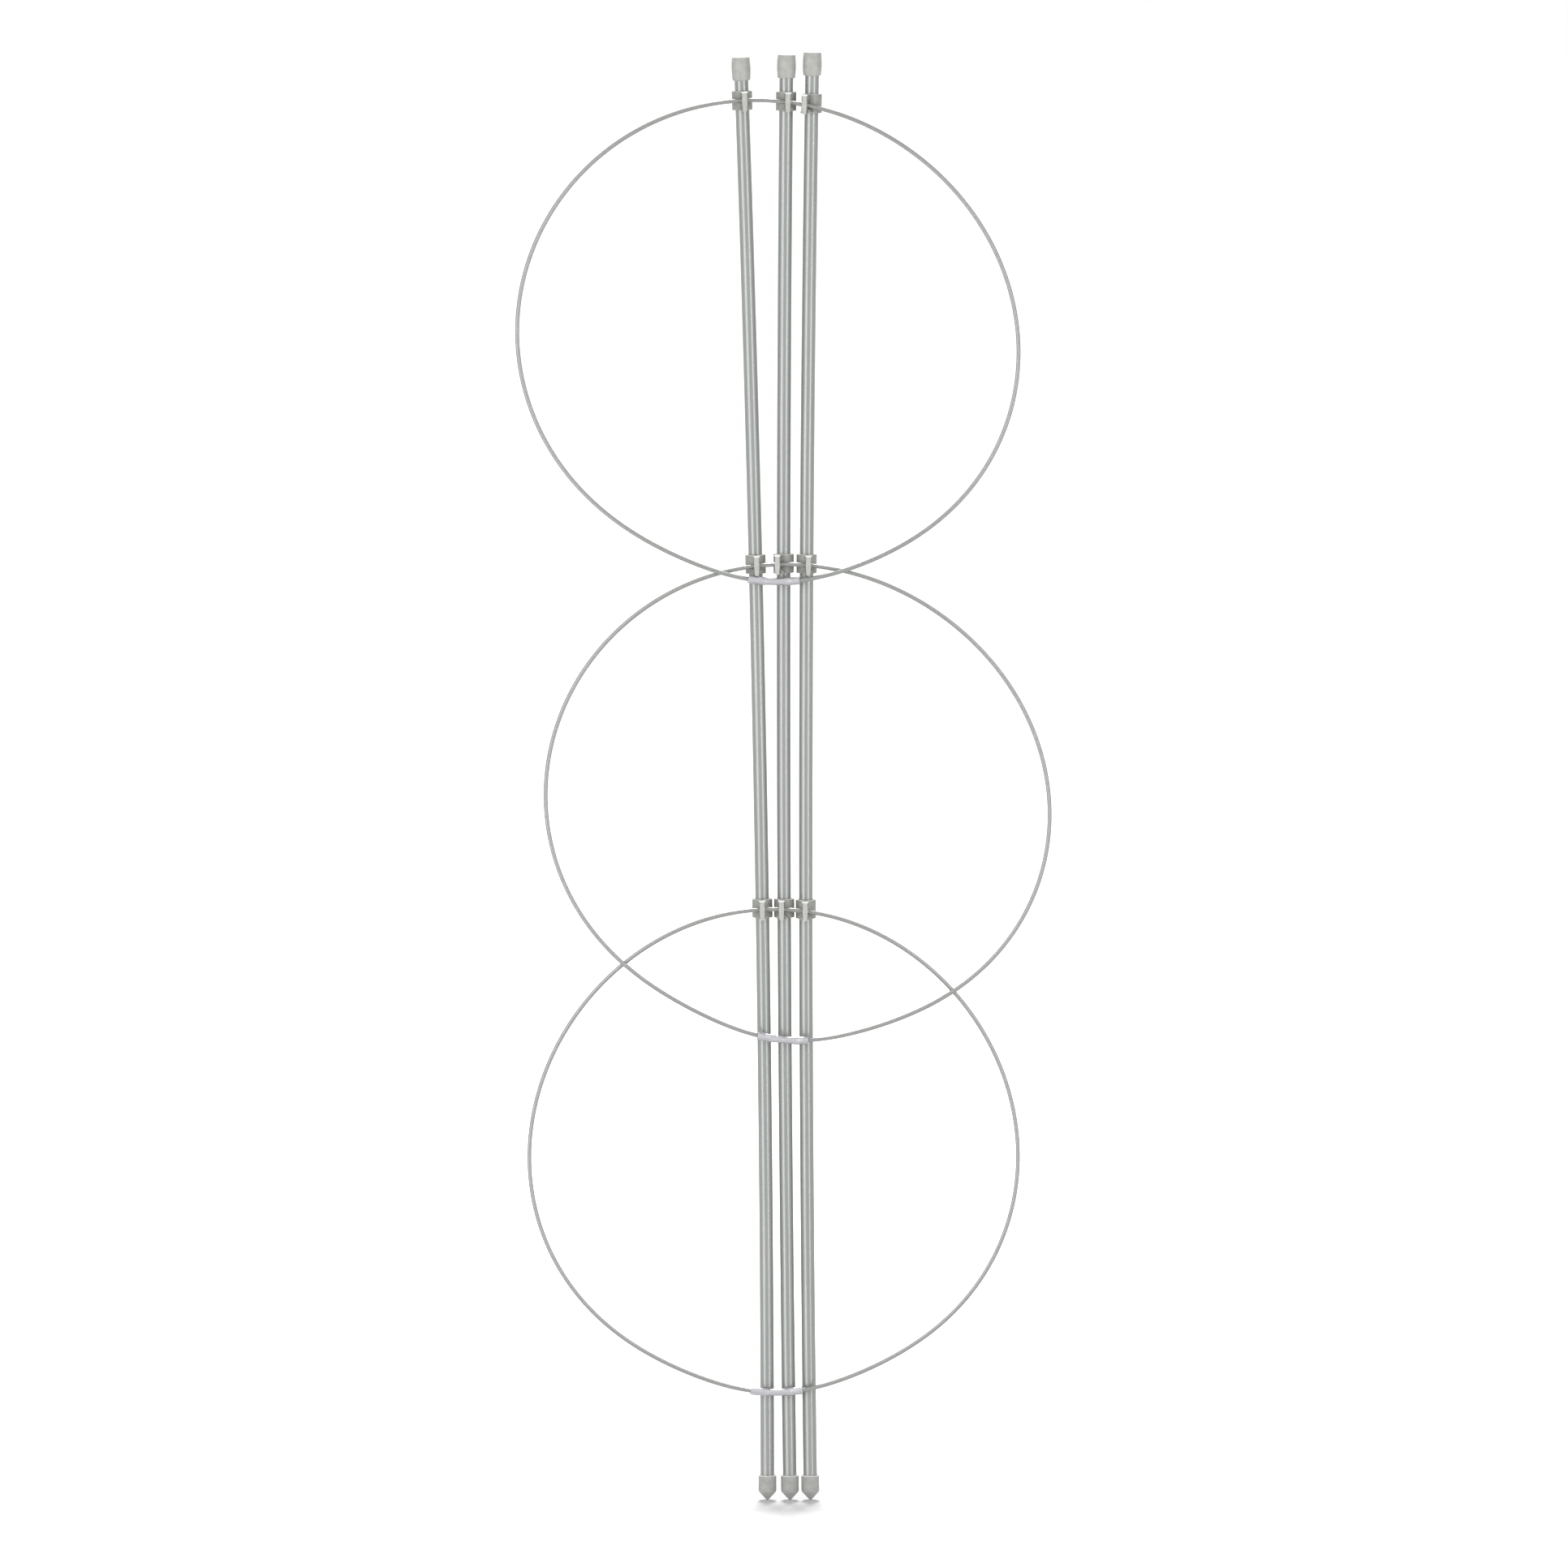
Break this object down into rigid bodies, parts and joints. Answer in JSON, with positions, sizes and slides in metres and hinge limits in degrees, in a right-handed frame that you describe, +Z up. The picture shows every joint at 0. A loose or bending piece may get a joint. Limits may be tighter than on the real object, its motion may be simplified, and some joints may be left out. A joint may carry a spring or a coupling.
{
  "type": "folding plant support",
  "caption": "Folding plant support: slim capped stakes side by side, with sprung wire rings hanging flat in front from turning clips; the rings tip level and the outer stakes swing round.",
  "frame": {"origin": "the point of the middle stake's tip", "axes": "+Z up along the stakes, -Y towards the side that the folded rings hang on, +X to the right when that side is looked at"},
  "size_m": [0.3308, 0.0201, 0.9007],
  "materials": {
    "coated_steel_tube": "satin grey coating on steel tube",
    "coated_wire": "satin grey coating on spring steel wire",
    "moulded_clip": "moulded grey plastic, satin",
    "moulded_cap_and_tip": "moulded grey plastic, matt",
    "crimped_sleeve": "bright drawn aluminium, crimped"
  },
  "bodies": {
    "middle_stake_assembly": {"middle_stake": "coated_steel_tube", "middle_cap": "moulded_cap_and_tip", "middle_tip": "moulded_cap_and_tip", "middle_top_clip": "moulded_clip", "middle_middle_clip": "moulded_clip", "middle_bottom_clip": "moulded_clip"},
    "top_ring_assembly": {"top_ring": "coated_wire", "top_sleeve": "crimped_sleeve"},
    "middle_ring_assembly": {"middle_ring": "coated_wire", "middle_sleeve": "crimped_sleeve"},
    "bottom_ring_assembly": {"bottom_ring": "coated_wire", "bottom_sleeve": "crimped_sleeve"},
    "left_stake_assembly": {"left_stake": "coated_steel_tube", "left_cap": "moulded_cap_and_tip", "left_tip": "moulded_cap_and_tip"},
    "left_top_clip_body": {"left_top_clip": "moulded_clip"},
    "left_middle_clip_body": {"left_middle_clip": "moulded_clip"},
    "left_bottom_clip_body": {"left_bottom_clip": "moulded_clip"},
    "right_stake_assembly": {"right_stake": "coated_steel_tube", "right_cap": "moulded_cap_and_tip", "right_tip": "moulded_cap_and_tip"},
    "right_top_clip_body": {"right_top_clip": "moulded_clip"},
    "right_middle_clip_body": {"right_middle_clip": "moulded_clip"},
    "right_bottom_clip_body": {"right_bottom_clip": "moulded_clip"}
  },
  "joints": [
    {"name": "top_ring_fold", "type": "hinge", "parent": "middle_stake_assembly", "child": "top_ring_assembly", "pos_m": [-0.00249, -0.0078, 0.8703], "axis": [-0.9979, -0.0451, 0.0456], "range_deg": [0, 89.52]},
    {"name": "middle_ring_fold", "type": "hinge", "parent": "middle_stake_assembly", "child": "middle_ring_assembly", "pos_m": [-0.00403, -0.0078, 0.5854], "axis": [-0.9996, 0.0204, -0.0207], "range_deg": [0, 89.39]},
    {"name": "bottom_ring_fold", "type": "hinge", "parent": "middle_stake_assembly", "child": "bottom_ring_assembly", "pos_m": [-0.00368, -0.0078, 0.3711], "axis": [-0.9982, -0.0425, 0.0425], "range_deg": [0, 90.15]},
    {"name": "left_stake_swing", "type": "hinge", "parent": "middle_stake_assembly", "child": "left_stake_assembly", "pos_m": [-0.05236, -0.12922, 0], "axis": [-0.0157, 0.0073, 0.9999], "range_deg": [0, 160.05]},
    {"name": "left_top_clip_turn", "type": "hinge", "parent": "left_stake_assembly", "child": "left_top_clip_body", "pos_m": [-0.02954, 0, 0.87086], "axis": [0.034, 0, -0.9994], "range_deg": [0, 45.53]},
    {"name": "left_middle_clip_turn", "type": "hinge", "parent": "left_stake_assembly", "child": "left_middle_clip_body", "pos_m": [-0.02135, 0, 0.58492], "axis": [0.0233, 0, -0.9997], "range_deg": [0, 39.74]},
    {"name": "left_bottom_clip_turn", "type": "hinge", "parent": "left_stake_assembly", "child": "left_bottom_clip_body", "pos_m": [-0.01722, 0, 0.37111], "axis": [0.0153, 0, -0.9999], "range_deg": [0, 43.3]},
    {"name": "right_stake_swing", "type": "hinge", "parent": "middle_stake_assembly", "child": "right_stake_assembly", "pos_m": [0.05971, -0.12275, 0], "axis": [-0.0081, -0.0106, -0.9999], "range_deg": [0, 160.05]},
    {"name": "right_top_clip_turn", "type": "hinge", "parent": "right_stake_assembly", "child": "right_top_clip_body", "pos_m": [0.01317, 0, 0.86903], "axis": [0.0155, 0, 0.9999], "range_deg": [0, 74.32]},
    {"name": "right_middle_clip_turn", "type": "hinge", "parent": "right_stake_assembly", "child": "right_middle_clip_body", "pos_m": [0.01016, 0, 0.58514], "axis": [0.0057, 0, 1], "range_deg": [0, 46.68]},
    {"name": "right_bottom_clip_turn", "type": "hinge", "parent": "right_stake_assembly", "child": "right_bottom_clip_body", "pos_m": [0.00973, 0, 0.37049], "axis": [-0.0017, 0, 1], "range_deg": [0, 54.89]}
  ],
  "couplings": [
    {"joint": "middle_ring_fold", "follows": "top_ring_fold", "ratio": 0.99799},
    {"joint": "bottom_ring_fold", "follows": "top_ring_fold", "ratio": 1.0065},
    {"joint": "left_stake_swing", "follows": "top_ring_fold", "ratio": 1.7873},
    {"joint": "left_top_clip_turn", "follows": "top_ring_fold", "ratio": 0.50804},
    {"joint": "left_middle_clip_turn", "follows": "top_ring_fold", "ratio": 0.44337},
    {"joint": "left_bottom_clip_turn", "follows": "top_ring_fold", "ratio": 0.48313},
    {"joint": "right_stake_swing", "follows": "top_ring_fold", "ratio": 1.7873},
    {"joint": "right_top_clip_turn", "follows": "top_ring_fold", "ratio": 0.82965},
    {"joint": "right_middle_clip_turn", "follows": "top_ring_fold", "ratio": 0.52089},
    {"joint": "right_bottom_clip_turn", "follows": "top_ring_fold", "ratio": 0.6126}
  ]
}
